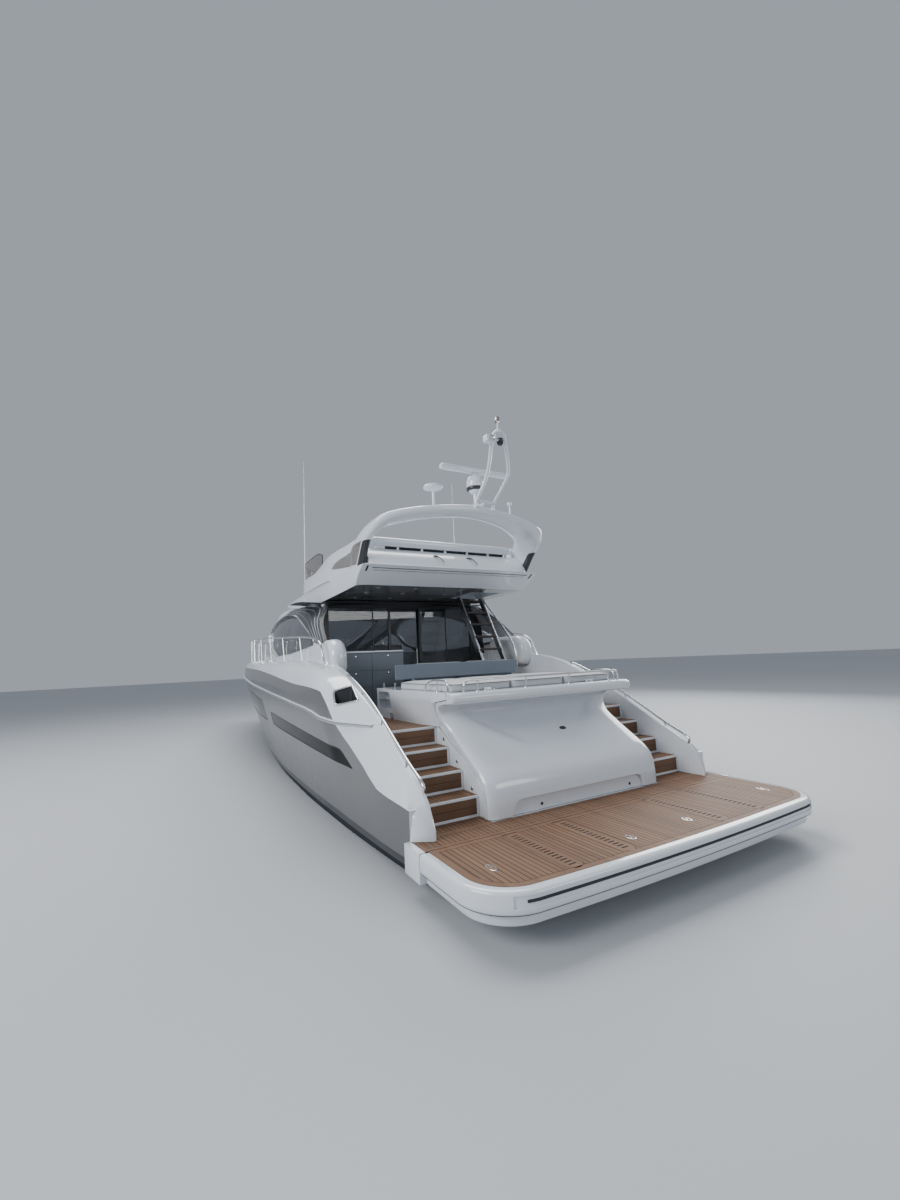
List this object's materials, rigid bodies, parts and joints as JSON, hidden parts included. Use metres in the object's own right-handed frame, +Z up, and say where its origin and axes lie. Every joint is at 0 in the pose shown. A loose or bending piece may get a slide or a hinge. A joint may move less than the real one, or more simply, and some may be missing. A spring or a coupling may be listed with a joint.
{
  "type": "motor yacht",
  "caption": "Flybridge motor yacht with a hollow saloon, transom garage, lifting bathing platform, radar arch, twin shafts and rudders.",
  "frame": {"origin": "on the centreline at the waterline, under the foot of the transom", "axes": "+X forward, +Y to port, +Z up"},
  "size_m": [20.0487, 5.09, 8.2871],
  "materials": {
    "topside_gelcoat": "high gloss",
    "white_gelcoat": "gloss",
    "teak": "matt, scrubbed",
    "stainless": "polished",
    "bronze": "cast and ground",
    "tinted_glass": "polished",
    "black_trim": "satin",
    "cushion": "woven",
    "grey_lacquer": "satin"
  },
  "bodies": {
    "yacht": {"hull": "topside_gelcoat", "rubbing_strake_port": "stainless", "rubbing_strake_starboard": "stainless", "deck_moulding": "white_gelcoat", "saloon_shell": "white_gelcoat", "side_glass_port": "tinted_glass", "side_glass_starboard": "tinted_glass", "windscreen": "tinted_glass", "aft_glass_wall": "tinted_glass", "flybridge_moulding": "white_gelcoat", "flybridge_coaming": "white_gelcoat", "flybridge_windscreen": "tinted_glass", "flybridge_aft_seat_back": "white_gelcoat", "flybridge_seat": "cushion", "flybridge_helm_console": "white_gelcoat", "flybridge_helm_seat": "cushion", "radar_arch": "white_gelcoat", "mast": "white_gelcoat", "satellite_dome": "white_gelcoat", "whip_aerial": "white_gelcoat", "flybridge_stairs": "stainless", "bow_rail_port": "stainless", "bow_rail_starboard": "stainless", "stern_handrail_port": "stainless", "stern_handrail_starboard": "stainless", "anchor": "stainless", "stern_step": "teak", "garage_house": "white_gelcoat", "stairs_port": "teak", "stairs_starboard": "teak", "cockpit_sole": "teak", "sunpad": "cushion", "cockpit_sofa": "cushion", "cockpit_table": "teak", "wet_bar": "grey_lacquer", "helm_console": "black_trim", "helm_seat": "cushion", "saloon_sofa": "cushion", "engine_port": "grey_lacquer", "engine_starboard": "grey_lacquer", "shaft_strut_port": "bronze", "shaft_strut_starboard": "bronze"},
    "saloon_door": {"saloon_door": "tinted_glass"},
    "flybridge_hatch": {"flybridge_hatch": "white_gelcoat"},
    "radar_scanner": {"radar_scanner": "white_gelcoat"},
    "garage_door": {"garage_door": "white_gelcoat"},
    "lift_arms": {"lift_arms": "stainless"},
    "swim_platform": {"swim_platform": "teak"},
    "propeller_port": {"propeller_port": "bronze"},
    "propeller_starboard": {"propeller_starboard": "bronze"},
    "rudder_port": {"rudder_port": "bronze"},
    "rudder_starboard": {"rudder_starboard": "bronze"},
    "helm_wheel": {"helm_wheel": "black_trim"},
    "flybridge_wheel": {"flybridge_wheel": "black_trim"},
    "trim_tab_port": {"trim_tab_port": "stainless"},
    "trim_tab_starboard": {"trim_tab_starboard": "stainless"},
    "anchor_locker_lid": {"anchor_locker_lid": "white_gelcoat"},
    "foredeck_hatch": {"foredeck_hatch": "tinted_glass"},
    "engine_hatch": {"engine_hatch": "teak"}
  },
  "joints": [
    {"name": "saloon_door_slide", "type": "slide", "parent": "yacht", "child": "saloon_door", "axis": [0, 1, 0], "range_m": [0, 0.62]},
    {"name": "flybridge_hatch_hinge", "type": "hinge", "parent": "yacht", "child": "flybridge_hatch", "pos_m": [3.95, -1.4393, 3.63], "axis": [1, 0, 0], "range_deg": [0, 85]},
    {"name": "radar_scan", "type": "hinge", "parent": "yacht", "child": "radar_scanner", "pos_m": [2.33, -0.245, 5.24], "axis": [0, 0, 1], "continuous": true},
    {"name": "garage_door_hinge", "type": "hinge", "parent": "yacht", "child": "garage_door", "pos_m": [0.604, 0, 1.753], "axis": [0, 1, 0], "range_deg": [0, 62]},
    {"name": "lift_arm_hinge", "type": "hinge", "parent": "yacht", "child": "lift_arms", "pos_m": [-0.08, 0, -0.38], "axis": [0, 1, 0], "range_deg": [-45, 0]},
    {"name": "platform_hinge", "type": "hinge", "parent": "lift_arms", "child": "swim_platform", "pos_m": [-0.773, 0, 0.02], "axis": [0, 1, 0], "range_deg": [0, 45]},
    {"name": "propeller_port_spin", "type": "hinge", "parent": "yacht", "child": "propeller_port", "pos_m": [1.1, 0.9, -0.84], "axis": [0.9824, 0, 0.1867], "continuous": true},
    {"name": "propeller_starboard_spin", "type": "hinge", "parent": "yacht", "child": "propeller_starboard", "pos_m": [1.1, -0.9, -0.84], "axis": [0.9824, 0, 0.1867], "continuous": true},
    {"name": "rudder_port_steer", "type": "hinge", "parent": "yacht", "child": "rudder_port", "pos_m": [0.42, 0.9, -0.6], "axis": [0, 0, 1], "range_deg": [-35, 35]},
    {"name": "rudder_starboard_steer", "type": "hinge", "parent": "yacht", "child": "rudder_starboard", "pos_m": [0.42, -0.9, -0.6], "axis": [0, 0, 1], "range_deg": [-35, 35]},
    {"name": "helm_wheel_turn", "type": "hinge", "parent": "yacht", "child": "helm_wheel", "pos_m": [9.18, -0.9, 2.33], "axis": [0.9063, 0, 0.4226], "range_deg": [-900, 900]},
    {"name": "flybridge_wheel_turn", "type": "hinge", "parent": "yacht", "child": "flybridge_wheel", "pos_m": [6.88, -0.65, 4.08], "axis": [0.9063, 0, 0.4226], "range_deg": [-900, 900]},
    {"name": "trim_tab_port_hinge", "type": "hinge", "parent": "yacht", "child": "trim_tab_port", "pos_m": [-0.004, 1.475, -0.1335], "axis": [0, 0.9454, 0.3259], "range_deg": [-12, 0]},
    {"name": "trim_tab_starboard_hinge", "type": "hinge", "parent": "yacht", "child": "trim_tab_starboard", "pos_m": [-0.004, -1.475, -0.1335], "axis": [0, 0.9454, -0.3259], "range_deg": [-12, 0]},
    {"name": "anchor_locker_hinge", "type": "hinge", "parent": "yacht", "child": "anchor_locker_lid", "pos_m": [16.7493, 0, 2.56], "axis": [0, 1, 0], "range_deg": [0, 85]},
    {"name": "foredeck_hatch_hinge", "type": "hinge", "parent": "yacht", "child": "foredeck_hatch", "pos_m": [14.1993, 0, 2.56], "axis": [0, 1, 0], "range_deg": [0, 75]},
    {"name": "engine_hatch_hinge", "type": "hinge", "parent": "yacht", "child": "engine_hatch", "pos_m": [3.7993, 0.85, 1.31], "axis": [0, 1, 0], "range_deg": [0, 80]}
  ],
  "couplings": [
    {"joint": "platform_hinge", "follows": "lift_arm_hinge", "ratio": -1},
    {"joint": "rudder_starboard_steer", "follows": "rudder_port_steer", "ratio": 1},
    {"joint": "helm_wheel_turn", "follows": "rudder_port_steer", "ratio": 25.7},
    {"joint": "flybridge_wheel_turn", "follows": "rudder_port_steer", "ratio": 25.7}
  ]
}
